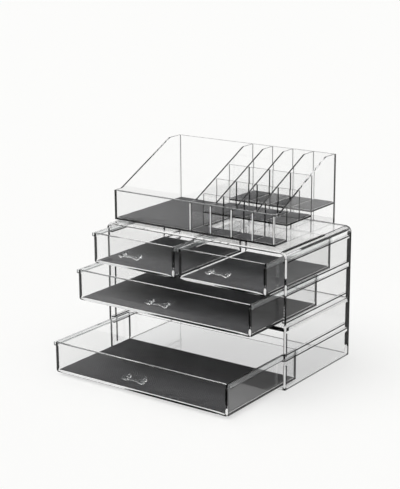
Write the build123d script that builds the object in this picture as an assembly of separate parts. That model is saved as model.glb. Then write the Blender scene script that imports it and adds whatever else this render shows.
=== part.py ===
# Clear acrylic make-up organiser: an open-fronted chest with four hanging drawers, and a slotted
# top tray that lifts off. Millimetres. The front is -Y, the top is +Z, and the origin is the centre
# of the face that the chest stands on.

import os
from build123d import *

os.makedirs("parts", exist_ok=True)

# Chest
chest_width = 240.0
chest_depth = 138.0
chest_height = 152.5
chest_wall = 2.6          # acrylic sheet of the wrap, back and base
bend_radius = 7.0         # outside of the wrap's two top bends
tier_pitch = 36.3         # from one drawer's rim to the next one's
rim_drop = 5.7            # from the chest's top face down to the upper drawers' rims
shelf_thickness = 4.0

# Runner strips on the side walls, above and below each drawer's slide bar
strip_reach = 2.8
strip_thickness = 1.5
strip_setback = 0.8       # strips start this far behind the chest's front edge

# Hanger between the two small drawers
hanger_web = 1.6
hanger_foot_reach = 1.9   # foot plate beyond the web, each side

# Drawers
drawer_height = 34.5
drawer_depth = 130.0
drawer_wall = 2.2
drawer_floor = 2.0
slide_bar_height = 4.5
outer_bar_width = 2.9
inner_bar_width = 2.2
front_corner_radius = 2.5  # lower corners of a drawer's front
edge_round = 0.4           # polished arrises

# How far each drawer stands open
small_drawer_open = 31.0
middle_drawer_open = 59.0
bottom_drawer_open = 101.0

# Handle: a flat bar on two round posts
handle_length = 29.0
handle_bar_height = 5.0
handle_bar_thickness = 3.2
handle_post_spacing = 21.0
handle_post_radius = 2.4
handle_stand_off = 6.5
handle_end_round = 1.5

# Mesh liners
liner_thickness = 1.2
liner_margin = 1.0

# Top tray
tray_width = 216.0
tray_depth = 127.0
tray_back_height = 79.0
tray_front_height = 34.5
tray_left_inset = 1.0      # from the chest's left side to the tray's
tray_back_overhang = 2.0   # the tray's back stands this far behind the chest's
tray_wall = 2.2
divider_wall = 2.0
front_flat_run = 11.5      # level stretch at the front of the sloping sides
top_flat_run = 22.0        # level stretch at their back
profile_round = 9.0        # knees of the side profile
slot_pitch = 27.2          # from one divider to the next
row_pitch = 25.4           # from one cross wall to the next
middle_floor_rise = 17.0   # underside of the two middle rows' floor
rear_floor_rise = 22.0
tray_floor_thickness = 2.0
cross_wall_drop = 1.5      # cross walls end this far below the side profile

# Clearances
side_clearance = 0.4       # slide bar to wall, and slide bar to hanger web
bar_rest_gap = 0.2         # slide bar over the strip that carries it
bar_top_gap = 0.4          # slide bar under the upper strip
tray_rest_gap = 0.2        # tray over the chest's top face

slot_columns = 4
tiers = 4
middle_tier = 1            # tiers are counted from 0 at the top, where the small drawers are
open_tier = 2
bottom_tier = 3


def block(x, y, z):
    """A box from its low and high coordinate on each axis."""
    low = Vector(x[0], y[0], z[0])
    size = (x[1] - x[0], y[1] - y[0], z[1] - z[0])
    return Location(low) * Box(*size, align=(Align.MIN, Align.MIN, Align.MIN))


def save(node, *solids):
    shape = solids[0] if len(solids) == 1 else Compound(children=list(solids))
    export_step(shape, "parts/" + node + ".step")


def eased(solid):
    """The panel with its arrises polished round."""
    return fillet(solid.edges(), edge_round)


chest_left = -chest_width / 2
chest_right = chest_width / 2
chest_front = -chest_depth / 2
chest_back = chest_depth / 2
inner_left = chest_left + chest_wall
inner_right = chest_right - chest_wall
ceiling = chest_height - chest_wall
inner_back = chest_back - chest_wall


# ---- Chest ----

def arch(margin, radius):
    """The chest's outline pulled in by a margin, with its two top edges rounded."""
    solid = block((chest_left + margin, chest_right - margin), (chest_front, chest_back),
                  (0, chest_height - margin))
    top_edges = solid.edges().filter_by(Axis.Y).group_by(Axis.Z)[-1]
    return fillet(top_edges, radius)


cavity = arch(chest_wall, bend_radius - chest_wall)


def make_chest():
    wrap = arch(0, bend_radius) - cavity
    save("casing_wrap", wrap)

    back = block((inner_left, inner_right), (inner_back, chest_back), (0, ceiling)) & cavity
    save("back_panel", back)

    base = block((inner_left, inner_right), (chest_front, inner_back), (0, chest_wall))
    save("base_panel", base)


def rim_level(tier):
    """Height of the drawers' rims on a tier, counted from 0 at the top."""
    return chest_height - rim_drop - tier * tier_pitch


def bar_seat(tier):
    """Top of the strips that carry a tier's slide bars."""
    return rim_level(tier) - slide_bar_height - bar_rest_gap


def make_runners():
    """Strips on the side walls, under and over each slide bar. The open tier has its shelf below."""
    for tier in range(tiers):
        lower_top = bar_seat(tier)
        upper_bottom = rim_level(tier) + bar_top_gap
        spans = [(upper_bottom, upper_bottom + strip_thickness)]
        if tier != open_tier:
            spans.append((lower_top - strip_thickness, lower_top))
        walls = [(inner_left, inner_left + strip_reach), (inner_right - strip_reach, inner_right)]
        length = (chest_front + strip_setback, inner_back)
        strips = [block(wall, length, span) & cavity for span in spans for wall in walls]
        save("runners_tier_" + str(tier + 1), *strips)


def make_shelf():
    """The shelf closes the space under the middle drawer, in the place of the lower strips."""
    shelf = block((inner_left, inner_right), (chest_front + strip_setback, inner_back),
                  (bar_seat(open_tier) - shelf_thickness, bar_seat(open_tier)))
    save("mid_shelf", shelf)


def make_hanger():
    """An upside-down T under the top, whose foot carries the small drawers' inner slide bars."""
    foot_top = bar_seat(0)
    length = (chest_front + strip_setback, inner_back)
    web = block((-hanger_web / 2, hanger_web / 2), length, (foot_top, ceiling))
    reach = hanger_web / 2 + hanger_foot_reach
    foot = block((-reach, reach), length, (foot_top - strip_thickness, foot_top))
    save("hanger_web", web)
    save("hanger_foot", foot)


# ---- Drawers ----

def make_handle(center_x, front_y, center_z):
    bar_back = front_y - handle_stand_off
    bar = block((center_x - handle_length / 2, center_x + handle_length / 2),
                (bar_back - handle_bar_thickness, bar_back),
                (center_z - handle_bar_height / 2, center_z + handle_bar_height / 2))
    bar = fillet(bar.edges(), handle_end_round)
    sink = handle_bar_thickness / 2   # the posts run on into the bar
    for side in (-1, 1):
        foot = Plane(origin=(center_x + side * handle_post_spacing / 2, front_y, center_z),
                     z_dir=(0, -1, 0))
        post = foot * Cylinder(handle_post_radius, handle_stand_off + sink,
                               align=(Align.CENTER, Align.CENTER, Align.MIN))
        bar += post
    return bar


def make_drawer(name, left, right, left_bar, right_bar, tier, opening):
    """One drawer, bonded from flat panels. left and right are the outsides of its slide bars."""
    rim = rim_level(tier)
    bottom = rim - drawer_height
    body_left = left + left_bar
    body_right = right - right_bar
    front = chest_front - opening
    back = front + drawer_depth
    inside_front = front + drawer_wall
    inside_back = back - drawer_wall
    inside_x = (body_left + drawer_wall, body_right - drawer_wall)
    inside_y = (inside_front, inside_back)

    face = block((body_left, body_right), (front, inside_front), (bottom, rim))
    lower_corners = face.edges().filter_by(Axis.Y).group_by(Axis.Z)[0]
    face = fillet(lower_corners, front_corner_radius)
    face = fillet(face.faces().sort_by(Axis.Y)[0].edges(), edge_round)
    save(name + "_front", face)

    rear = block((body_left, body_right), (inside_back, back), (bottom, rim))
    save(name + "_back", rear)

    save(name + "_left_side", block((body_left, inside_x[0]), inside_y, (bottom, rim)))
    save(name + "_right_side", block((inside_x[1], body_right), inside_y, (bottom, rim)))
    save(name + "_floor", block(inside_x, inside_y, (bottom, bottom + drawer_floor)))

    bar_z = (rim - slide_bar_height, rim)
    bars = [eased(block((left, body_left), (front, back), bar_z)),
            eased(block((body_right, right), (front, back), bar_z))]
    save(name + "_slide_bars", *bars)

    handle = make_handle((body_left + body_right) / 2, front, (rim + bottom) / 2)
    save(name + "_handle", handle)

    top_of_floor = bottom + drawer_floor
    liner = block((inside_x[0] + liner_margin, inside_x[1] - liner_margin),
                  (inside_y[0] + liner_margin, inside_y[1] - liner_margin),
                  (top_of_floor, top_of_floor + liner_thickness))
    save(name + "_liner", liner)


def make_drawers():
    wide_left = inner_left + side_clearance
    wide_right = inner_right - side_clearance
    beside_web = hanger_web / 2 + side_clearance
    make_drawer("top_left_drawer", wide_left, -beside_web, outer_bar_width, inner_bar_width,
                0, small_drawer_open)
    make_drawer("top_right_drawer", beside_web, wide_right, inner_bar_width, outer_bar_width,
                0, small_drawer_open)
    make_drawer("middle_drawer", wide_left, wide_right, outer_bar_width, outer_bar_width,
                middle_tier, middle_drawer_open)
    make_drawer("bottom_drawer", wide_left, wide_right, outer_bar_width, outer_bar_width,
                bottom_tier, bottom_drawer_open)


# ---- Top tray ----

tray_base = chest_height + tray_rest_gap
tray_left = chest_left + tray_left_inset
tray_right = tray_left + tray_width
tray_back = chest_back + tray_back_overhang
tray_front = tray_back - tray_depth
tray_inner_front = tray_front + tray_wall
tray_inner_back = tray_back - tray_wall
slots_left = tray_right - tray_wall / 2 - slot_columns * slot_pitch   # middle of the first divider
slope_start = tray_front + front_flat_run
slope_end = tray_back - top_flat_run


def profile_height(y):
    """Height of the tray's sloping sides over its base."""
    share = (y - slope_start) / (slope_end - slope_start)
    share = min(max(share, 0), 1)
    return tray_front_height + share * (tray_back_height - tray_front_height)


def sloping_panel(x_low, thickness, front, back):
    """A panel with the tray's side profile, between two depths."""
    outline = [(tray_front, 0), (tray_front, tray_front_height), (slope_start, tray_front_height),
               (slope_end, tray_back_height), (tray_back, tray_back_height), (tray_back, 0)]
    sketch = make_face(Polyline(*[(y, z) for y, z in outline], close=True))
    knees = [v for v in sketch.vertices()
             if tray_front < v.X < tray_back and v.Y > 0]
    sketch = fillet(knees, profile_round)
    plane = Plane(origin=(x_low, 0, tray_base), x_dir=(0, 1, 0), z_dir=(1, 0, 0))
    panel = extrude(plane * sketch, thickness)
    keep = block((x_low, x_low + thickness), (front, back),
                 (tray_base, tray_base + tray_back_height))
    return panel & keep


def divider_center(column):
    return slots_left + column * slot_pitch


def slot_span(column):
    """Clear width of a slot between two dividers, or between the last one and the right side."""
    low = divider_center(column) + divider_wall / 2
    last = column == slot_columns - 1
    high = tray_right - tray_wall if last else divider_center(column + 1) - divider_wall / 2
    return (low, high)


def cross_wall_span(row):
    """Depth of the cross wall behind a row, counted from 0 at the front."""
    center = tray_front + (row + 1) * row_pitch
    return (center - divider_wall / 2, center + divider_wall / 2)


def make_tray_panels():
    save("tray_left_side", sloping_panel(tray_left, tray_wall, tray_front, tray_back))
    save("tray_right_side", sloping_panel(tray_right - tray_wall, tray_wall, tray_front, tray_back))
    inside = (tray_left + tray_wall, tray_right - tray_wall)
    front = block(inside, (tray_front, tray_inner_front),
                  (tray_base, tray_base + tray_front_height))
    save("tray_front", front)
    back = block(inside, (tray_inner_back, tray_back), (tray_base, tray_base + tray_back_height))
    save("tray_back", back)
    for column in range(slot_columns):
        x_low = divider_center(column) - divider_wall / 2
        panel = sloping_panel(x_low, divider_wall, tray_inner_front, tray_inner_back)
        save("tray_divider_" + str(column + 1), panel)


def make_cross_walls():
    """Three walls across the slots. The second stands on the middle floor, the others on the base."""
    feet = [0, middle_floor_rise + tray_floor_thickness, 0]
    for row, foot in enumerate(feet):
        depth = cross_wall_span(row)
        top = profile_height(depth[0]) - cross_wall_drop
        walls = [block(slot_span(column), depth, (tray_base + foot, tray_base + top))
                 for column in range(slot_columns)]
        save("tray_cross_wall_" + str(row + 1), *walls)


def make_tray_floors():
    bay = (tray_left + tray_wall, divider_center(0) - divider_wall / 2)
    bay_depth = (tray_inner_front, tray_inner_back)
    save("tray_bay_floor", block(bay, bay_depth, (tray_base, tray_base + tray_floor_thickness)))

    front_row = (tray_inner_front, cross_wall_span(0)[0])
    middle_rows = (cross_wall_span(0)[1], cross_wall_span(2)[0])
    rear_row = (cross_wall_span(2)[1], tray_inner_back)
    floors = [("front", front_row, 0), ("middle", middle_rows, middle_floor_rise),
              ("rear", rear_row, rear_floor_rise)]
    for name, depth, rise in floors:
        low = tray_base + rise
        plates = [block(slot_span(column), depth, (low, low + tray_floor_thickness))
                  for column in range(slot_columns)]
        save("tray_" + name + "_floors", *plates)


def liner(x, y, floor_top):
    return block((x[0] + liner_margin, x[1] - liner_margin),
                 (y[0] + liner_margin, y[1] - liner_margin),
                 (floor_top, floor_top + liner_thickness))


def make_tray_liners():
    base_top = tray_base + tray_floor_thickness
    bay = (tray_left + tray_wall, divider_center(0) - divider_wall / 2)
    save("tray_bay_liner", liner(bay, (tray_inner_front, tray_inner_back), base_top))

    rows = [((tray_inner_front, cross_wall_span(0)[0]), 0),
            ((cross_wall_span(0)[1], cross_wall_span(1)[0]), middle_floor_rise),
            ((cross_wall_span(1)[1], cross_wall_span(2)[0]), middle_floor_rise),
            ((cross_wall_span(2)[1], tray_inner_back), rear_floor_rise)]
    pads = [liner(slot_span(column), depth, base_top + rise)
            for depth, rise in rows for column in range(slot_columns)]
    save("tray_slot_liners", *pads)


make_chest()
make_runners()
make_shelf()
make_hanger()
make_drawers()
make_tray_panels()
make_cross_walls()
make_tray_floors()
make_tray_liners()
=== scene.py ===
import math

import bmesh
import bpy
from mathutils import Matrix, Vector


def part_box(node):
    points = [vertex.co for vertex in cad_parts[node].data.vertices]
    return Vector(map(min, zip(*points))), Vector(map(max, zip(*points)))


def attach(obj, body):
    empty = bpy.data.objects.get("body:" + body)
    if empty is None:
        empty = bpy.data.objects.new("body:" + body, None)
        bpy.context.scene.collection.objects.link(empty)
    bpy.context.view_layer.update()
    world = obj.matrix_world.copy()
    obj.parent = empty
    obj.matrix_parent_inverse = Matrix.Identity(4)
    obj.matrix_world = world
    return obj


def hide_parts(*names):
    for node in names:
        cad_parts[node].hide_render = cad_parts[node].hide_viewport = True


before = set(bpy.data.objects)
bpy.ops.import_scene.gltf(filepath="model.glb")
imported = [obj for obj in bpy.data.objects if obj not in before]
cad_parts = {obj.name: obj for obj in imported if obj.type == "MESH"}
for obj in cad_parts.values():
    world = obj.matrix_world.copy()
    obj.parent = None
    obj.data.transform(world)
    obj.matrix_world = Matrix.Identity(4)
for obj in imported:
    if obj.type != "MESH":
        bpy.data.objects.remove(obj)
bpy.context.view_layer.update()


# ---------------------------------------------------------------------------------------------
# Chest, drawer and tray panels
# The organiser is bonded from flat sheets of clear cast acrylic, 2 to 4 mm thick. Each sheet is
# cut, its edges are flame polished, and the sheets are joined with solvent cement.

MM = 0.001
FACE_SWELL = 35.71 * MM


def linear(hex_colour):
    """Turns an sRGB hex colour into the linear colour that a shader socket takes."""
    channels = []
    for start in (1, 3, 5):
        value = int(hex_colour[start:start + 2], 16) / 255.0
        if value <= 0.04045:
            channels.append(value / 12.92)
        else:
            channels.append(((value + 0.055) / 1.055) ** 2.4)
    return (*channels, 1.0)


def add_node(tree, kind, settings=None, links=None):
    """Adds one shader node. Settings name a property or an input, links name an input."""
    node = tree.nodes.new(kind)
    for key, value in (settings or {}).items():
        if isinstance(key, int) or key in node.inputs.keys():
            node.inputs[key].default_value = value
        else:
            setattr(node, key, value)
    for key, source in (links or {}).items():
        tree.links.new(source, node.inputs[key])
    return node


def empty_material(name):
    """A new material without nodes, and its node tree."""
    material = bpy.data.materials.new(name)
    material.use_nodes = True
    material.node_tree.nodes.clear()
    return material, material.node_tree


def clear_acrylic(name, waviness, straight_through):
    """Clear acrylic, cast as a sheet or moulded: colourless, with a glossy face that is a little
    wavy, so reflections wander slightly. Shadows pass through it nearly unweakened. A small part,
    too slim to bend all it shows, also lets a share of the view straight through."""
    material, tree = empty_material(name)
    place = add_node(tree, "ShaderNodeTexCoord")
    swell = add_node(
        tree,
        "ShaderNodeTexNoise",
        {"Scale": 1 / FACE_SWELL, "Detail": 2.0, "Roughness": 0.4},
        {"Vector": place.outputs["Object"]},
    )
    relief = add_node(
        tree,
        "ShaderNodeBump",
        {"Strength": waviness, "Distance": 1.0 * MM},
        {"Height": swell.outputs["Fac"]},
    )
    body = add_node(
        tree,
        "ShaderNodeBsdfPrincipled",
        {"Base Color": linear("#fefefe"), "Roughness": 0.0, "IOR": 1.46, "Transmission Weight": 1.0},
        {"Normal": relief.outputs["Normal"]},
    )
    shadow_pass = add_node(tree, "ShaderNodeBsdfTransparent", {"Color": linear("#fcfdfd")})
    ray = add_node(tree, "ShaderNodeLightPath")
    passing = add_node(
        tree,
        "ShaderNodeMath",
        {"operation": "MAXIMUM", 1: straight_through},
        {0: ray.outputs["Is Shadow Ray"]},
    )
    both = add_node(
        tree,
        "ShaderNodeMixShader",
        None,
        {0: passing.outputs[0], 1: body.outputs[0], 2: shadow_pass.outputs[0]},
    )
    add_node(tree, "ShaderNodeOutputMaterial", None, {"Surface": both.outputs[0]})
    return material


sheet_acrylic = clear_acrylic("cast_acrylic_sheet", 0.02, 0.0)

for node_name, node_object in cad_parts.items():
    if not node_name.endswith(("handle", "liner", "liners", "slide_bars")):
        node_object.data.materials.clear()
        node_object.data.materials.append(sheet_acrylic)


# ---------------------------------------------------------------------------------------------
# Slide bars
# Slim extruded acrylic bars with rounded edges, cemented along the drawers' rims. They are too
# thin to bend the view much, so they are drawn as nearly invisible strips, with grey outlines
# painted as shade where the surface turns away from the eye.

DIE_MARK = 16.67 * MM
BAR_SIDES = 16
BAR_SQUARENESS = 0.75
BAR_TAPER = 0.5 * MM
BAR_END_SIZE = 0.6
BAR_HAZE = 0.09
WELD_DISTANCE = 0.01 * MM
UPRIGHT = 2
SIDEWAYS = 0
FORE_AND_AFT = 1
DRAWERS = ("top_left_drawer", "top_right_drawer", "middle_drawer", "bottom_drawer")


def extruded_acrylic():
    """Slim extruded acrylic: clear face on, with painted grey shade where the surface turns away
    from the eye, and a window-like shine on its outer side only, which the marks of the die make
    wander. A faint white haze lets it show against dark cloth and vanish against white."""
    material, tree = empty_material("extruded_acrylic_bar")
    place = add_node(tree, "ShaderNodeTexCoord")
    die_marks = add_node(
        tree,
        "ShaderNodeTexNoise",
        {"Scale": 1 / DIE_MARK, "Detail": 3.0},
        {"Vector": place.outputs["Object"]},
    )
    relief = add_node(
        tree,
        "ShaderNodeBump",
        {"Strength": 0.05, "Distance": 0.5 * MM},
        {"Height": die_marks.outputs["Fac"]},
    )
    turning = add_node(tree, "ShaderNodeLayerWeight", {"Blend": 0.35})
    # painted shade: the see-through colour turns grey as the surface turns away from the eye
    depth = add_node(tree, "ShaderNodeValToRGB", None, {"Fac": turning.outputs["Facing"]})
    depth.color_ramp.elements[0].color = linear("#fdfefe")
    depth.color_ramp.elements[0].position = 0.70
    depth.color_ramp.elements[1].color = linear("#4a4d4d")
    depth.color_ramp.elements[1].position = 0.95
    through = add_node(tree, "ShaderNodeBsdfTransparent", None, {"Color": depth.outputs["Color"]})
    gloss = add_node(
        tree,
        "ShaderNodeBsdfGlossy",
        {"Roughness": 0.04},
        {"Normal": relief.outputs["Normal"]},
    )
    mirror = add_node(tree, "ShaderNodeFresnel", {"IOR": 1.49}, {"Normal": relief.outputs["Normal"]})
    side = add_node(tree, "ShaderNodeNewGeometry")
    outer = add_node(
        tree,
        "ShaderNodeMath",
        {"operation": "SUBTRACT", 0: 1.0},
        {1: side.outputs["Backfacing"]},
    )
    shine = add_node(
        tree,
        "ShaderNodeMath",
        {"operation": "MULTIPLY"},
        {0: mirror.outputs[0], 1: outer.outputs[0]},
    )
    both = add_node(
        tree,
        "ShaderNodeMixShader",
        None,
        {0: shine.outputs[0], 1: through.outputs[0], 2: gloss.outputs[0]},
    )
    haze = add_node(tree, "ShaderNodeBsdfDiffuse", {"Color": linear("#f4f5f5")})
    hazy = add_node(tree, "ShaderNodeMixShader", {0: BAR_HAZE}, {1: both.outputs[0], 2: haze.outputs[0]})
    add_node(tree, "ShaderNodeOutputMaterial", None, {"Surface": hazy.outputs[0]})
    return material


def closed_tube(shape, rings):
    """Joins rings of points into one closed skin, with a flat cap at each end."""
    for ring, following in zip(rings, rings[1:]):
        for index in range(len(ring)):
            after = (index + 1) % len(ring)
            shape.faces.new((ring[index], ring[after], following[after], following[index]))
    shape.faces.new(list(reversed(rings[0])))
    shape.faces.new(rings[-1])


def eased_bar(shape, low, high, along, taper, end_size):
    """A bar between two corners, lying along one axis. Its section is a rectangle with eased
    corners, and its ends narrow over twice the taper, to end_size of the full section."""
    across = [axis for axis in range(3) if axis != along]
    middle = [(low[axis] + high[axis]) / 2 for axis in range(3)]
    half = [(high[axis] - low[axis]) / 2 for axis in range(3)]
    shoulder = 0.25 * end_size + 0.75
    stations = (
        (low[along], end_size),
        (low[along] + taper, shoulder),
        (low[along] + 2 * taper, 1.0),
        (high[along] - 2 * taper, 1.0),
        (high[along] - taper, shoulder),
        (high[along], end_size),
    )
    rings = []
    for level, size in stations:
        ring = []
        for turn in range(BAR_SIDES):
            angle = math.tau * (turn + 0.5) / BAR_SIDES
            ease = max(abs(math.cos(angle)), abs(math.sin(angle))) ** BAR_SQUARENESS
            point = [0.0, 0.0, 0.0]
            point[along] = level
            point[across[0]] = middle[across[0]] + half[across[0]] * size * math.cos(angle) / ease
            point[across[1]] = middle[across[1]] + half[across[1]] * size * math.sin(angle) / ease
            ring.append(shape.verts.new(point))
        rings.append(ring)
    closed_tube(shape, rings)


def solid_boxes(node_name):
    """The box of each separate solid in a CAD node, as pairs of lowest and highest corner."""
    shape = bmesh.new()
    shape.from_mesh(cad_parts[node_name].data)
    bmesh.ops.remove_doubles(shape, verts=shape.verts, dist=WELD_DISTANCE)
    seen = set()
    boxes = []
    for start in shape.verts:
        if start in seen:
            continue
        island = []
        waiting = [start]
        seen.add(start)
        while waiting:
            vert = waiting.pop()
            island.append(vert.co.copy())
            for edge in vert.link_edges:
                other = edge.other_vert(vert)
                if other not in seen:
                    seen.add(other)
                    waiting.append(other)
        low = Vector([min(point[axis] for point in island) for axis in range(3)])
        high = Vector([max(point[axis] for point in island) for axis in range(3)])
        boxes.append((low, high))
    shape.free()
    return boxes


def mesh_object(name, shape):
    """Turns a finished bmesh into an object of the scene."""
    mesh = bpy.data.meshes.new(name)
    shape.to_mesh(mesh)
    shape.free()
    made = bpy.data.objects.new(name, mesh)
    bpy.context.scene.collection.objects.link(made)
    return made


def mesh_piece(name, shape, material, body):
    """Turns a finished bmesh into a piece that rides on a body."""
    bmesh.ops.recalc_face_normals(shape, faces=shape.faces)
    piece = mesh_object(name, shape)
    piece.data.materials.append(material)
    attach(piece, body)
    return piece


def smooth(piece):
    for face in piece.data.polygons:
        face.use_smooth = True


bar_acrylic = extruded_acrylic()
for drawer_name in DRAWERS:
    bars_shape = bmesh.new()
    for bar_low, bar_high in solid_boxes(drawer_name + "_slide_bars"):
        eased_bar(bars_shape, bar_low, bar_high, FORE_AND_AFT, BAR_TAPER, BAR_END_SIZE)
    bars_piece = mesh_piece(
        drawer_name + "_eased_bars", bars_shape, bar_acrylic, drawer_name
    )
    smooth(bars_piece)
    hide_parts(drawer_name + "_slide_bars")


# ---------------------------------------------------------------------------------------------
# Drawer handles
# Small clear pulls, each injection moulded in one piece: a slim rod with rounded ends on two
# round posts. The posts flare out at both ends and are cemented to the drawer's front.

ROUND_SIDES = 20
ROD_STEPS = 20
ROD_SETBACK = 2.1 * MM
ROD_TIP = 0.06
ROD_WAIST = 0.42
LOBE_RADIUS = 4.6 * MM
LOBE_HALF_DEPTH = 1.9 * MM
LOBE_HALF_HEIGHT = 2.8 * MM
POST_OFFSET = 10.5 * MM
POST_STEPS = 12
POST_RADIUS = 2.0 * MM
POST_NECK = 0.8
POST_FLARE = 0.32
POST_TO_FRONT = 0.02 * MM


def pull_rod(middle, half_length, rod_y):
    """The rod: a lobe where each post meets it, a thin waist between them and rounded tips."""
    shape = bmesh.new()
    rings = []
    for step in range(ROD_STEPS * 2 + 1):
        along = -1 + step / ROD_STEPS
        x = middle.x + half_length * math.sin(along * math.pi / 2)
        from_post = (abs(x - middle.x) - POST_OFFSET) / LOBE_RADIUS
        lobe = math.sqrt(max(0.0, 1 - from_post ** 2))
        size = max(lobe, ROD_WAIST if from_post < 0 else ROD_TIP)
        ring = []
        for turn in range(ROUND_SIDES):
            angle = math.tau * turn / ROUND_SIDES
            y = rod_y + LOBE_HALF_DEPTH * size * math.cos(angle)
            z = middle.z + LOBE_HALF_HEIGHT * size * math.sin(angle)
            ring.append(shape.verts.new((x, y, z)))
        rings.append(ring)
    closed_tube(shape, rings)
    bmesh.ops.recalc_face_normals(shape, faces=shape.faces)
    return shape


def pull_post(post_x, post_z, rod_y, front_y):
    """A round post from the rod to the drawer's front, wider at both ends than at its neck."""
    shape = bmesh.new()
    rings = []
    for step in range(POST_STEPS + 1):
        depth = step / POST_STEPS
        y = rod_y + (front_y - rod_y) * depth
        radius = POST_RADIUS * (POST_NECK + POST_FLARE * (2 * depth - 1) ** 4)
        ring = []
        for turn in range(ROUND_SIDES):
            angle = math.tau * turn / ROUND_SIDES
            x = post_x + radius * math.cos(angle)
            z = post_z + radius * math.sin(angle)
            ring.append(shape.verts.new((x, y, z)))
        rings.append(ring)
    closed_tube(shape, rings)
    bmesh.ops.recalc_face_normals(shape, faces=shape.faces)
    return shape


def join_post(pull, post):
    """Joins a post to the pull in one skin, as the mould does, without faces left inside."""
    join = pull.modifiers.new("join_post", "BOOLEAN")
    join.operation = "UNION"
    join.solver = "EXACT"
    join.object = post
    bpy.context.view_layer.update()
    graph = bpy.context.evaluated_depsgraph_get()
    joined = bpy.data.meshes.new_from_object(pull.evaluated_get(graph))
    pull.modifiers.clear()
    pull.data = joined
    bpy.data.objects.remove(post)


moulded_acrylic = clear_acrylic("moulded_acrylic_pull", 0.05, 0.5)
for drawer_name in DRAWERS:
    handle_low, handle_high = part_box(drawer_name + "_handle")
    handle_middle = (handle_low + handle_high) / 2
    rod_y = handle_low.y + ROD_SETBACK
    rod = pull_rod(handle_middle, (handle_high.x - handle_low.x) / 2, rod_y)
    pull = mesh_object(drawer_name + "_pull", rod)
    for side in (-1, 1):
        post_x = handle_middle.x + side * POST_OFFSET
        post_shape = pull_post(post_x, handle_middle.z, rod_y, handle_high.y - POST_TO_FRONT)
        join_post(pull, mesh_object("post", post_shape))
    pull.data.name = drawer_name + "_pull"
    smooth(pull)
    pull.data.materials.clear()
    pull.data.materials.append(moulded_acrylic)
    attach(pull, drawer_name)
    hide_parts(drawer_name + "_handle")


# ---------------------------------------------------------------------------------------------
# Painted light and shade at the joints and edges
# Solvent cement fills the joints between the sheets. Thin bars along the joints and edges paint
# the light and shade of the clear plastic: dark bars are painted shade, pale bars are painted
# highlights that glow a little, and grey bars are painted grey edge lines.

SPECK_SPACING = 3.125 * MM
PAINTED_LINE_END_SIZE = 0.15
BLUNT = 0.7


def cement_seam(name, body_tint, speck_tint, painted_glow):
    """A painted line of light and shade in the clear plastic: smooth, with random specks of another
    tint. Its last argument adds a painted glow, making it a little brighter than its lamp."""
    material, tree = empty_material(name)
    place = add_node(tree, "ShaderNodeTexCoord")
    specks = add_node(
        tree,
        "ShaderNodeTexNoise",
        {"Scale": 1 / SPECK_SPACING, "Detail": 3.0, "Roughness": 0.6},
        {"Vector": place.outputs["Object"]},
    )
    shade = add_node(tree, "ShaderNodeValToRGB", None, {"Fac": specks.outputs["Fac"]})
    shade.color_ramp.elements[0].position = 0.45
    shade.color_ramp.elements[0].color = linear(body_tint)
    shade.color_ramp.elements[1].position = 0.75
    shade.color_ramp.elements[1].color = linear(speck_tint)
    relief = add_node(
        tree,
        "ShaderNodeBump",
        {"Strength": 0.2, "Distance": 0.2 * MM},
        {"Height": specks.outputs["Fac"]},
    )
    cement = add_node(
        tree,
        "ShaderNodeBsdfPrincipled",
        {
            "Roughness": 0.3,
            "IOR": 1.5,
            "Emission Color": linear("#ffffff"),
            "Emission Strength": painted_glow,
        },
        {"Base Color": shade.outputs["Color"], "Normal": relief.outputs["Normal"]},
    )
    add_node(tree, "ShaderNodeOutputMaterial", None, {"Surface": cement.outputs[0]})
    return material


# painted shade in near-black, and painted highlights in white that glow a little
painted_shade = cement_seam("painted_shade_lines", "#050505", "#222222", 0.0)
painted_highlight_glow = cement_seam("painted_glowing_highlights", "#fbfbfa", "#e4e4e2", 0.25)
# painted grey edge lines for the rims and sawn ends
painted_grey_line = cement_seam("painted_grey_edge_lines", "#6e7070", "#9c9e9e", 0.0)


def seam(origin, x, y, z, along, taper):
    """One painted bar: the start and end of its x, y and z and its taper, in millimetres from
    the origin, as two corners, an axis and a taper in metres."""
    low = [base + span[0] * MM for base, span in zip(origin, (x, y, z))]
    high = [base + span[1] * MM for base, span in zip(origin, (x, y, z))]
    return low, high, along, taper * MM


def seams_piece(name, body, bars, material):
    """One piece made of all the bars of a kind on a body."""
    shape = bmesh.new()
    for low, high, along, taper in bars:
        eased_bar(shape, low, high, along, taper, PAINTED_LINE_END_SIZE)
    return mesh_piece(name, shape, material, body)


def bar_edges(bar_low, bar_high, on_left):
    """Thin painted lines of shade along a slide bar's upper inner edge and its lower outer edge."""
    width, length, height = (bar_high - bar_low) / MM
    left_edge = (0.05, 0.6)
    right_edge = (width - 0.6, width - 0.05)
    lower_edge = (0.05, 0.6)
    upper_edge = (height - 0.6, height - 0.05)
    inner, outer = (right_edge, left_edge) if on_left else (left_edge, right_edge)
    run = (1.2, length - 1.2)
    return [
        seam(bar_low, inner, run, upper_edge, FORE_AND_AFT, taper=2.0),
        seam(bar_low, outer, run, lower_edge, FORE_AND_AFT, taper=2.0),
    ]


def bar_end(bar_low, bar_high, on_left):
    """A painted grey outline of a slide bar's sawn front end, which stands beside the front as a small
    tab.
    """
    width = (bar_high.x - bar_low.x) / MM
    height = (bar_high.z - bar_low.z) / MM
    sawn_face = (0.1, 1.1)
    underside = (0.1, 0.9)
    outer_side = (0.15, 0.85) if on_left else (width - 0.85, width - 0.15)
    return [
        seam(bar_low, (0.2, width - 0.2), sawn_face, underside, SIDEWAYS, taper=0.3),
        seam(bar_low, outer_side, sawn_face, (0.3, height - 0.2), UPRIGHT, taper=0.3),
    ]


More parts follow.
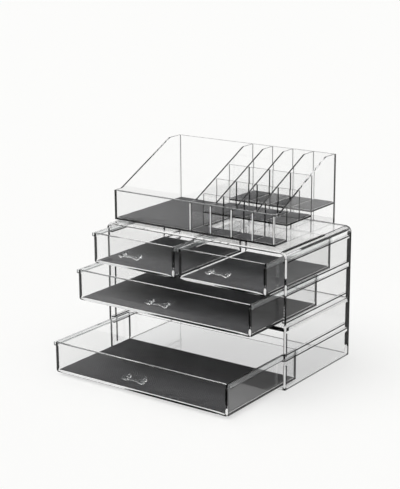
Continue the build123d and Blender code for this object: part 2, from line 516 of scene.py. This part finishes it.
def drawer_seams(drawer):
    """The painted shade, painted highlights and painted grey lines in the joints and along the rims
    of one drawer. They are measured from the front's lower left corner."""
    corner, front_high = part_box(drawer + "_front")
    width = (front_high.x - corner.x) / MM
    height = (front_high.z - corner.z) / MM
    depth = (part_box(drawer + "_back")[1].y - corner.y) / MM
    left_joint = (0.1, 2.9)
    right_joint = (width - 2.9, width - 0.1)
    front_joint = (0.15, 2.9)
    back_joint = (depth - 2.4, depth - 0.15)
    column_foot = 3.4
    lit_column_foot = 11.0
    column_head = height - 3.6
    dark = []
    for x in (left_joint, right_joint):
        for y in (front_joint, back_joint):
            # the front right column ends high, because the joint's foot filled with light
            lit = x == right_joint and y == front_joint
            foot = lit_column_foot if lit else column_foot
            dark.append(seam(corner, x, y, (foot, column_head), UPRIGHT, BLUNT))
    # painted shade lies under the right part of the front and all along the right side
    under_front = (0.42 * width, width - 3.0)
    dark.append(
        seam(corner, under_front, y=(0.1, 1.0), z=(0.05, 2.1), along=SIDEWAYS, taper=16.0)
    )
    right_side = (width - 2.1, width + 0.06)
    side_run = (3.2, depth - 3.2)
    dark.append(seam(corner, right_side, side_run, z=(0.05, 2.3), along=FORE_AND_AFT, taper=0.8))
    # a painted highlight lies behind it, at the floor's front edge, and in the foot of the right corner
    floor_edge = (1.0, width - 3.4)
    lit_corner = (width - 2.4, width - 0.3)
    pale = [
        seam(corner, floor_edge, y=(1.1, 2.1), z=(0.1, 2.9), along=SIDEWAYS, taper=4.0),
        seam(corner, lit_corner, y=(0.1, 2.0), z=(1.2, 8.5), along=UPRIGHT, taper=1.2),
    ]
    # a painted grey line marks the left part of the front's rim
    rim_run = (0.6, 0.35 * width)
    rim_level = (height - 0.95, height - 0.1)
    grey = [seam(corner, rim_run, (0.2, 1.3), rim_level, SIDEWAYS, taper=8.0)]
    for bar_low, bar_high in solid_boxes(drawer + "_slide_bars"):
        on_left = bar_low.x < corner.x
        grey.extend(bar_end(bar_low, bar_high, on_left))
        edge_lines = grey if on_left else dark
        edge_lines.extend(bar_edges(bar_low, bar_high, on_left))
    seams_piece(drawer + "_painted_shade_lines", drawer, dark, painted_shade)
    seams_piece(drawer + "_painted_highlights", drawer, pale, painted_highlight_glow)
    seams_piece(drawer + "_painted_grey_rim", drawer, grey, painted_grey_line)


for drawer_name in DRAWERS:
    drawer_seams(drawer_name)

# the chest's painted lines are measured from its front right foot, so x is below zero to the left of it
wrap_low, wrap_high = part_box("casing_wrap")
shelf_low, shelf_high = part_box("mid_shelf")
chest_foot = (wrap_high.x, wrap_low.y, wrap_low.z)
chest_width, chest_depth, chest_height = (wrap_high - wrap_low) / MM
shelf_underside = (shelf_low.z - wrap_low.z) / MM
shelf_top = (shelf_high.z - wrap_low.z) / MM
wall_front_x = (-2.1, -0.3)
wall_front_y = (0.1, 1.3)
back_joint_x = (-2.3, -0.2)
back_joint_y = (chest_depth - 8.5, chest_depth - 2.1)

# painted shade darkens the joint of the right wall and the back, broken by the runners of each tier
dark_bars = []
for z in ((13.0, 29.5), (34.0, 65.0), (70.0, 105.0), (111.0, 139.5), (143.0, 147.5)):
    dark_bars.append(seam(chest_foot, back_joint_x, back_joint_y, z, UPRIGHT, BLUNT))
# painted shade marks the runners' carrier, which is cemented to each wall just behind the chest's front
# edge
left_carrier_x = (0.6 - chest_width, 2.3 - chest_width)
dark_bars.append(
    seam(chest_foot, left_carrier_x, y=(8.2, 10.4), z=(6.0, 104.0), along=UPRIGHT, taper=BLUNT)
)
right_carrier_x = (-2.0, -0.3)
right_carrier_y = (1.6, 3.8)
for z in ((5.0, 28.0), (37.0, 64.0)):
    dark_bars.append(seam(chest_foot, right_carrier_x, right_carrier_y, z, UPRIGHT, BLUNT))
# painted shade darkens the right wall's front edge where it passes the middle drawer
dark_bars.append(
    seam(chest_foot, wall_front_x, wall_front_y, z=(73.0, 104.5), along=UPRIGHT, taper=BLUNT)
)
# painted shade darkens the top sheet along its bend, along its front edge and over the right runner
bend_z = (chest_height - 2.2, chest_height - 0.4)
dark_bars.append(
    seam(chest_foot, x=(-8.6, -6.2), y=(1.0, 91.0), z=bend_z, along=FORE_AND_AFT, taper=3.0)
)
top_front_x = (6.0 - chest_width, -6.0)
top_front_z = (chest_height - 2.5, chest_height - 1.7)
dark_bars.append(
    seam(chest_foot, top_front_x, y=(0.1, 0.8), z=top_front_z, along=SIDEWAYS, taper=6.0)
)
over_runner_z = (chest_height - 5.4, chest_height - 3.9)
dark_bars.append(
    seam(chest_foot, x=(-5.0, -2.8), y=(33.0, 133.0), z=over_runner_z, along=FORE_AND_AFT, taper=3.0)
)
# painted shade darkens the shelf's front edge at its right end
shelf_front_z = (shelf_underside + 0.3, shelf_top - 0.3)
dark_bars.append(
    seam(chest_foot, x=(-34.0, -2.9), y=(1.0, 2.8), z=shelf_front_z, along=SIDEWAYS, taper=4.0)
)
seams_piece("chest_painted_shade", "casing", dark_bars, painted_shade)

# painted highlights make the rest of the right wall's polished front edge shine white, and the back
# joint's foot too
pale_bars = []
for z in ((2.0, 28.0), (41.0, 72.0), (105.5, 117.5), (124.0, 145.6)):
    pale_bars.append(seam(chest_foot, wall_front_x, wall_front_y, z, UPRIGHT, BLUNT))
pale_bars.append(
    seam(chest_foot, back_joint_x, back_joint_y, z=(1.5, 12.0), along=UPRIGHT, taper=BLUNT)
)
# more painted highlights on the right wall's foot, the base's front edge and the shelf's joint with the
# wall
wall_run = (3.0, chest_depth - 3.0)
pale_bars.append(
    seam(chest_foot, (-2.3, -0.15), wall_run, z=(1.4, 3.8), along=FORE_AND_AFT, taper=0.9)
)
pale_bars.append(
    seam(chest_foot, x=(-60.0, -2.8), y=(0.1, 1.1), z=(0.2, 2.3), along=SIDEWAYS, taper=1.2)
)
shelf_run = (7.0, chest_depth - 5.0)
shelf_joint_z = (shelf_underside + 0.3, shelf_top - 0.5)
pale_bars.append(
    seam(chest_foot, (-2.4, -0.6), shelf_run, shelf_joint_z, along=FORE_AND_AFT, taper=0.9)
)
seams_piece("chest_painted_highlights", "casing", pale_bars, painted_highlight_glow)

# a painted grey line marks the outermost line of the right wall's foot
foot_run = (2.0, chest_depth - 2.0)
foot_bar = seam(chest_foot, (-1.6, -0.05), foot_run, (0.05, 1.25), FORE_AND_AFT, taper=2.0)
seams_piece("chest_painted_foot_line", "casing", [foot_bar], painted_grey_line)

BEND_RADIUS = 7.0 * MM
BEND_HIGHLIGHT_RADIUS = 5.7 * MM
BEND_HIGHLIGHT_WIDTH = 2.1 * MM
BEND_HIGHLIGHT_DEPTH = 1.6 * MM
BEND_HIGHLIGHT_SETBACK = 0.9 * MM
BEND_STEPS = 16
BEND_SIDES = 12
BEND_TIP = 0.25
BEND_FULLNESS = 0.35


def bend_seam(middle):
    """A painted highlight on the sawn end of the bend from the top sheet to the right wall: a white
    strip that follows the quarter bend on the edge of the sheet and narrows to its ends."""
    shape = bmesh.new()
    rings = []
    for step in range(BEND_STEPS + 1):
        share = step / BEND_STEPS
        angle = math.pi / 2 * share
        size = max(BEND_TIP, math.sin(math.pi * share) ** BEND_FULLNESS)
        ring = []
        for turn in range(BEND_SIDES):
            around = math.tau * turn / BEND_SIDES
            reach = BEND_HIGHLIGHT_RADIUS + BEND_HIGHLIGHT_WIDTH / 2 * size * math.cos(around)
            x = middle.x + reach * math.sin(angle)
            y = middle.y + BEND_HIGHLIGHT_DEPTH / 2 * size * math.sin(around)
            z = middle.z + reach * math.cos(angle)
            ring.append(shape.verts.new((x, y, z)))
        rings.append(ring)
    closed_tube(shape, rings)
    return shape


bend_middle = Vector(
    (wrap_high.x - BEND_RADIUS, wrap_low.y + BEND_HIGHLIGHT_SETBACK, wrap_high.z - BEND_RADIUS)
)
mesh_piece("chest_bend_seam", bend_seam(bend_middle), painted_highlight_glow, "casing")

# the tray's dividers and right side are cemented to its front, and each joint gets a painted highlight,
# a pale line
front_low, front_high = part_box("tray_front")
front_width = (front_high.x - front_low.x) / MM
front_height = (front_high.z - front_low.z) / MM
joint_z = (2.0, front_height - 1.5)
tray_bars = []
for column in range(1, 5):
    divider_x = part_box("tray_divider_" + str(column))[0].x
    foot = (divider_x, front_low.y, front_low.z)
    tray_bars.append(seam(foot, x=(0.1, 1.5), y=(0.5, 1.7), z=joint_z, along=UPRIGHT, taper=BLUNT))
foot = (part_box("tray_right_side")[0].x, front_low.y, front_low.z)
tray_bars.append(seam(foot, x=(0.1, 1.3), y=(0.3, 1.3), z=joint_z, along=UPRIGHT, taper=BLUNT))
seams_piece("tray_joint_highlights", "tray", tray_bars, painted_highlight_glow)

# a painted grey line runs along the rim of the tray's front, its whole length
rim_run = (0.5, front_width - 0.5)
rim_level = (front_height - 1.0, front_height - 0.1)
rim_bar = seam(front_low, rim_run, (0.3, 1.5), rim_level, SIDEWAYS, taper=2.0)
seams_piece("tray_painted_grey_rim", "tray", [rim_bar], painted_grey_line)


# ---------------------------------------------------------------------------------------------
# Mesh liners
# Dark grey pads of polyester spacer mesh, cut to fit and laid loose in each drawer and in the
# tray's bay and slots. The knit's open cells are about 2 mm apart; they are drawn 3 mm apart, or
# they would be lost at the size of the picture.

CELL_PITCH = 3.0 * MM
BLOTCH_SIZE = 11.11 * MM
PAD_RIM = 0.55 * MM
PAD_LIFT = 0.12 * MM
PAD_GRID = 4.0 * MM
# a laid pad's top swells once in 33 mm across and once in 27 mm front to back
SWELL_DEPTH = 0.09 * MM
SWELL_RADIANS_ACROSS = 190.0
SWELL_RADIANS_DEEP = 230.0
SWELL_START_ACROSS = 1.3
SWELL_START_DEEP = 0.4
PAD_SHARP_ANGLE = math.radians(50)


def spacer_mesh_fabric():
    """Knitted polyester mesh: matt and dark grey, paler where the threads cross and darker in the
    cells, where the darkness is painted shade, with faint blotches where the pile lies another way."""
    material, tree = empty_material("knitted_polyester_mesh")
    place = add_node(tree, "ShaderNodeTexCoord")
    cells = add_node(
        tree,
        "ShaderNodeTexVoronoi",
        {"Scale": 1 / CELL_PITCH, "Randomness": 0.25, "feature": "DISTANCE_TO_EDGE"},
        {"Vector": place.outputs["Object"]},
    )
    thread = add_node(
        tree,
        "ShaderNodeMapRange",
        {"From Min": 0.0, "From Max": 0.35, "To Min": 1.0, "To Max": 0.0},
        {"Value": cells.outputs["Distance"]},
    )
    blotch = add_node(
        tree,
        "ShaderNodeTexNoise",
        {"Scale": 1 / BLOTCH_SIZE, "Detail": 5.0, "Roughness": 0.7},
        {"Vector": place.outputs["Object"]},
    )
    patches = add_node(tree, "ShaderNodeValToRGB", None, {"Fac": blotch.outputs["Fac"]})
    patches.color_ramp.elements[0].position = 0.35
    patches.color_ramp.elements[0].color = linear("#8c8c8c")
    patches.color_ramp.elements[1].position = 0.65
    patches.color_ramp.elements[1].color = linear("#ffffff")
    # painted shade: the open cells take the darker grey, the threads the paler one
    shade = add_node(
        tree,
        "ShaderNodeMix",
        {"data_type": "RGBA", 6: linear("#2a2a2c"), 7: linear("#5a5a5c")},
        {"Factor": thread.outputs["Result"]},
    )
    uneven = add_node(
        tree,
        "ShaderNodeMix",
        {"data_type": "RGBA", "blend_type": "MULTIPLY", "Factor": 0.5},
        {6: shade.outputs[2], 7: patches.outputs["Color"]},
    )
    relief = add_node(
        tree,
        "ShaderNodeBump",
        {"Strength": 0.6, "Distance": 0.4 * MM},
        {"Height": thread.outputs["Result"]},
    )
    cloth = add_node(
        tree,
        "ShaderNodeBsdfPrincipled",
        {"Roughness": 0.72, "Sheen Weight": 0.15, "Sheen Roughness": 0.5},
        {"Base Color": uneven.outputs[2], "Normal": relief.outputs["Normal"]},
    )
    add_node(tree, "ShaderNodeOutputMaterial", None, {"Surface": cloth.outputs[0]})
    return material


def spaced(low, high):
    """Places from low to high: close together round the rim, then about one grid step apart."""
    inside = high - low - 4 * PAD_RIM
    count = max(3, round(inside / PAD_GRID))
    inner = [low + 2 * PAD_RIM + inside * step / count for step in range(count + 1)]
    near = [low, low + 0.3 * PAD_RIM, low + PAD_RIM]
    return near + inner + [high + low - place for place in reversed(near)]


def pad_level(x, y, low, high):
    """The height of a pad's top: round at its rim, and rising and falling a little inside."""
    to_edge = min(x - low.x, high.x - x, y - low.y, high.y - y)
    gone = max(0.0, PAD_RIM - to_edge)
    rounded = high.z - (PAD_RIM - math.sqrt(max(0.0, PAD_RIM ** 2 - gone ** 2)))
    swell = math.sin(x * SWELL_RADIANS_ACROSS + SWELL_START_ACROSS)
    swell *= math.sin(y * SWELL_RADIANS_DEEP + SWELL_START_DEEP)
    return rounded - SWELL_DEPTH * (1 + swell)


def add_pad(shape, low, high):
    """One pad with a soft rounded rim. It lies a hair above the floor, so that the floor's own
    lower edge stays bright."""
    top = []
    for x in spaced(low.x, high.x):
        top.append([shape.verts.new((x, y, pad_level(x, y, low, high))) for y in spaced(low.y, high.y)])
    for column, following in zip(top, top[1:]):
        for line in range(len(column) - 1):
            shape.faces.new((column[line], following[line], following[line + 1], column[line + 1]))
    loop = [column[0] for column in top]
    loop += top[-1][1:]
    loop += [column[-1] for column in reversed(top[:-1])]
    loop += list(reversed(top[0][1:-1]))
    skirt = [shape.verts.new((vert.co.x, vert.co.y, low.z + PAD_LIFT)) for vert in loop]
    for index in range(len(loop)):
        after = (index + 1) % len(loop)
        shape.faces.new((loop[index], skirt[index], skirt[after], loop[after]))
    shape.faces.new(skirt)


def liner_pad(name, node_name, body):
    """The pads of one CAD node, as one piece of knitted mesh."""
    shape = bmesh.new()
    for low, high in solid_boxes(node_name):
        add_pad(shape, low, high)
    pad = mesh_piece(name, shape, mesh_fabric, body)
    pad.data.set_sharp_from_angle(angle=PAD_SHARP_ANGLE)
    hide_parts(node_name)


mesh_fabric = spacer_mesh_fabric()
for drawer_name in DRAWERS:
    liner_pad(drawer_name + "_mesh_pad", drawer_name + "_liner", drawer_name)
liner_pad("tray_bay_mesh_pad", "tray_bay_liner", "tray")
liner_pad("tray_slot_mesh_pads", "tray_slot_liners", "tray")


# ---------------------------------------------------------------------------------------------
# Table and light
# A round sheet of white paper under a white sky, with one broad lamp overhead. A dark card stands
# in front of the organiser, and dark mats lie before it and at its right. Only the panels' shine
# picks those up, and they draw the grey in the panels' edges.

TABLE_RADIUS = 14.0
TABLE_SIDES = 96
TABLE_DROP = 0.3 * MM
SKY_STRENGTH = 0.9
BAND_LEVEL = 0.04
LAMP_STRENGTH = 1.15
LAMP_SPREAD = math.radians(55)
LAMP_TILT = (math.radians(12), math.radians(-20), 0)
PAPER_GLOW = 0.56


def white_paper():
    """Matt white paper. It shows a touch brighter to the eye than its light alone would make it."""
    material, tree = empty_material("matt_white_paper")
    paper = add_node(tree, "ShaderNodeBsdfDiffuse", {"Color": linear("#aeaeac")})
    ray = add_node(tree, "ShaderNodeLightPath")
    seen_or_mirrored = add_node(
        tree,
        "ShaderNodeMath",
        {"operation": "MAXIMUM"},
        {0: ray.outputs["Is Camera Ray"], 1: ray.outputs["Is Glossy Ray"]},
    )
    seen_any_way = add_node(
        tree,
        "ShaderNodeMath",
        {"operation": "MAXIMUM"},
        {0: seen_or_mirrored.outputs[0], 1: ray.outputs["Is Transmission Ray"]},
    )
    lift = add_node(
        tree,
        "ShaderNodeMath",
        {"operation": "MULTIPLY", 1: PAPER_GLOW},
        {0: seen_any_way.outputs[0]},
    )
    glow = add_node(tree, "ShaderNodeEmission", None, {"Strength": lift.outputs[0]})
    both = add_node(tree, "ShaderNodeAddShader", None, {0: paper.outputs[0], 1: glow.outputs[0]})
    add_node(tree, "ShaderNodeOutputMaterial", None, {"Surface": both.outputs[0]})
    return material


table_shape = bmesh.new()
bmesh.ops.create_circle(table_shape, cap_ends=True, radius=TABLE_RADIUS, segments=TABLE_SIDES)
table = mesh_object("white_table", table_shape)
table.data.materials.append(white_paper())
table.location.z = -TABLE_DROP

# the sky is white but for a dark band round it, from about 26 to 41 degrees up
studio = bpy.data.worlds.new("studio")
studio.use_nodes = True
studio.node_tree.nodes.clear()
bpy.context.scene.world = studio
sky_place = add_node(studio.node_tree, "ShaderNodeTexCoord")
sky_height = add_node(
    studio.node_tree, "ShaderNodeSeparateXYZ", None, {0: sky_place.outputs["Generated"]}
)
sky_ramp = add_node(studio.node_tree, "ShaderNodeValToRGB", None, {0: sky_height.outputs["Z"]})
sky_ramp.color_ramp.elements[0].color = linear("#ffffff")
sky_ramp.color_ramp.elements[1].color = linear("#ffffff")
for position, level in ((0.40, 1.0), (0.44, BAND_LEVEL), (0.66, BAND_LEVEL), (0.72, 1.0)):
    stop = sky_ramp.color_ramp.elements.new(position)
    stop.color = (level, level, level, 1)
sky = add_node(
    studio.node_tree,
    "ShaderNodeBackground",
    {"Strength": SKY_STRENGTH},
    {0: sky_ramp.outputs["Color"]},
)
add_node(studio.node_tree, "ShaderNodeOutputWorld", None, {"Surface": sky.outputs[0]})

overhead = bpy.data.lights.new("overhead_light", "SUN")
overhead.energy = LAMP_STRENGTH
overhead.angle = LAMP_SPREAD
overhead_lamp = bpy.data.objects.new("overhead_light", overhead)
overhead_lamp.rotation_euler = LAMP_TILT
bpy.context.scene.collection.objects.link(overhead_lamp)


def dark_felt(name, fade_start, fade_end, cover):
    """Black felt on a studio card, thinning out towards the card's left end so that its
    reflection has no hard edge. Only the shine of a panel picks it up: seen straight, or
    straight through a clear panel, the card isn't there."""
    material, tree = empty_material(name)
    place = add_node(tree, "ShaderNodeTexCoord")
    along = add_node(tree, "ShaderNodeSeparateXYZ", None, {0: place.outputs["Generated"]})
    fade = add_node(
        tree,
        "ShaderNodeMapRange",
        {
            "From Min": fade_start,
            "From Max": fade_end,
            "To Max": cover,
            "interpolation_type": "SMOOTHSTEP",
        },
        {"Value": along.outputs["X"]},
    )
    clear = add_node(tree, "ShaderNodeBsdfTransparent")
    felt = add_node(tree, "ShaderNodeBsdfDiffuse", {"Color": linear("#050505")})
    ray = add_node(tree, "ShaderNodeLightPath")
    mirrored = add_node(
        tree,
        "ShaderNodeMath",
        {"operation": "COMPARE", 1: 1.0, 2: 0.5},
        {0: ray.outputs["Glossy Depth"]},
    )
    shown = add_node(
        tree,
        "ShaderNodeMath",
        {"operation": "MULTIPLY"},
        {0: mirrored.outputs[0], 1: fade.outputs["Result"]},
    )
    both = add_node(
        tree,
        "ShaderNodeMixShader",
        None,
        {0: shown.outputs[0], 1: clear.outputs[0], 2: felt.outputs[0]},
    )
    add_node(tree, "ShaderNodeOutputMaterial", None, {"Surface": both.outputs[0]})
    return material


def dark_card(name, felt, left_low, right_high):
    """A flat card between two opposite corners, given in millimetres."""
    left_x, low_y, low_z = [place * MM for place in left_low]
    right_x, high_y, high_z = [place * MM for place in right_high]
    corners = (
        (left_x, low_y, low_z),
        (right_x, low_y, low_z),
        (right_x, high_y, high_z),
        (left_x, high_y, high_z),
    )
    shape = bmesh.new()
    shape.faces.new([shape.verts.new(corner) for corner in corners])
    card = mesh_object(name, shape)
    card.data.materials.append(felt)
    card.visible_camera = False
    card.visible_diffuse = False
    card.visible_shadow = False


fading_felt = dark_felt("fading_black_felt", 0.03, 0.33, 1.0)
even_felt = dark_felt("even_black_felt", 0.0, 0.03, 0.72)
dark_card("front_card", fading_felt, (-360, -340, 0), (400, -340, 340))
dark_card("front_mat", fading_felt, (-240, -340, 1), (400, -172, 1))
dark_card("side_mat", even_felt, (115, -80, 1), (600, 620, 1))


# ---------------------------------------------------------------------------------------------
# Camera
# The photograph's view: a long lens, a little above the organiser and to its right. Its place,
# its directions and its lens were fitted to the organiser's edges.

CAMERA_PLACE = (0.80207, -1.18083, 0.51563)
AZIMUTH = math.radians(35.4765)
ELEVATION = math.radians(15.1854)
ROLL = math.radians(-0.3305)
LENS_LENGTH = 95.934
SENSOR_WIDTH = 36.0

back = Vector((
    math.sin(AZIMUTH) * math.cos(ELEVATION),
    -math.cos(AZIMUTH) * math.cos(ELEVATION),
    math.sin(ELEVATION),
))
level_right = Vector((math.cos(AZIMUTH), math.sin(AZIMUTH), 0))
level_up = back.cross(level_right)
right = level_right * math.cos(ROLL) + level_up * math.sin(ROLL)
up = level_up * math.cos(ROLL) - level_right * math.sin(ROLL)
lens = bpy.data.cameras.new("product_camera")
lens.lens = LENS_LENGTH
lens.sensor_width = SENSOR_WIDTH
camera = bpy.data.objects.new("product_camera", lens)
camera.matrix_world = Matrix((
    (right.x, up.x, back.x, CAMERA_PLACE[0]),
    (right.y, up.y, back.y, CAMERA_PLACE[1]),
    (right.z, up.z, back.z, CAMERA_PLACE[2]),
    (0, 0, 0, 1),
))
bpy.context.scene.collection.objects.link(camera)
bpy.context.scene.camera = camera

bpy.context.scene.view_settings.view_transform = "Standard"
# a line of sight crosses many clear sheets, so light is followed through as many faces
bpy.context.scene.cycles.max_bounces = 32
bpy.context.scene.cycles.transmission_bounces = 32
bpy.context.scene.cycles.glossy_bounces = 16
bpy.context.scene.cycles.transparent_max_bounces = 64
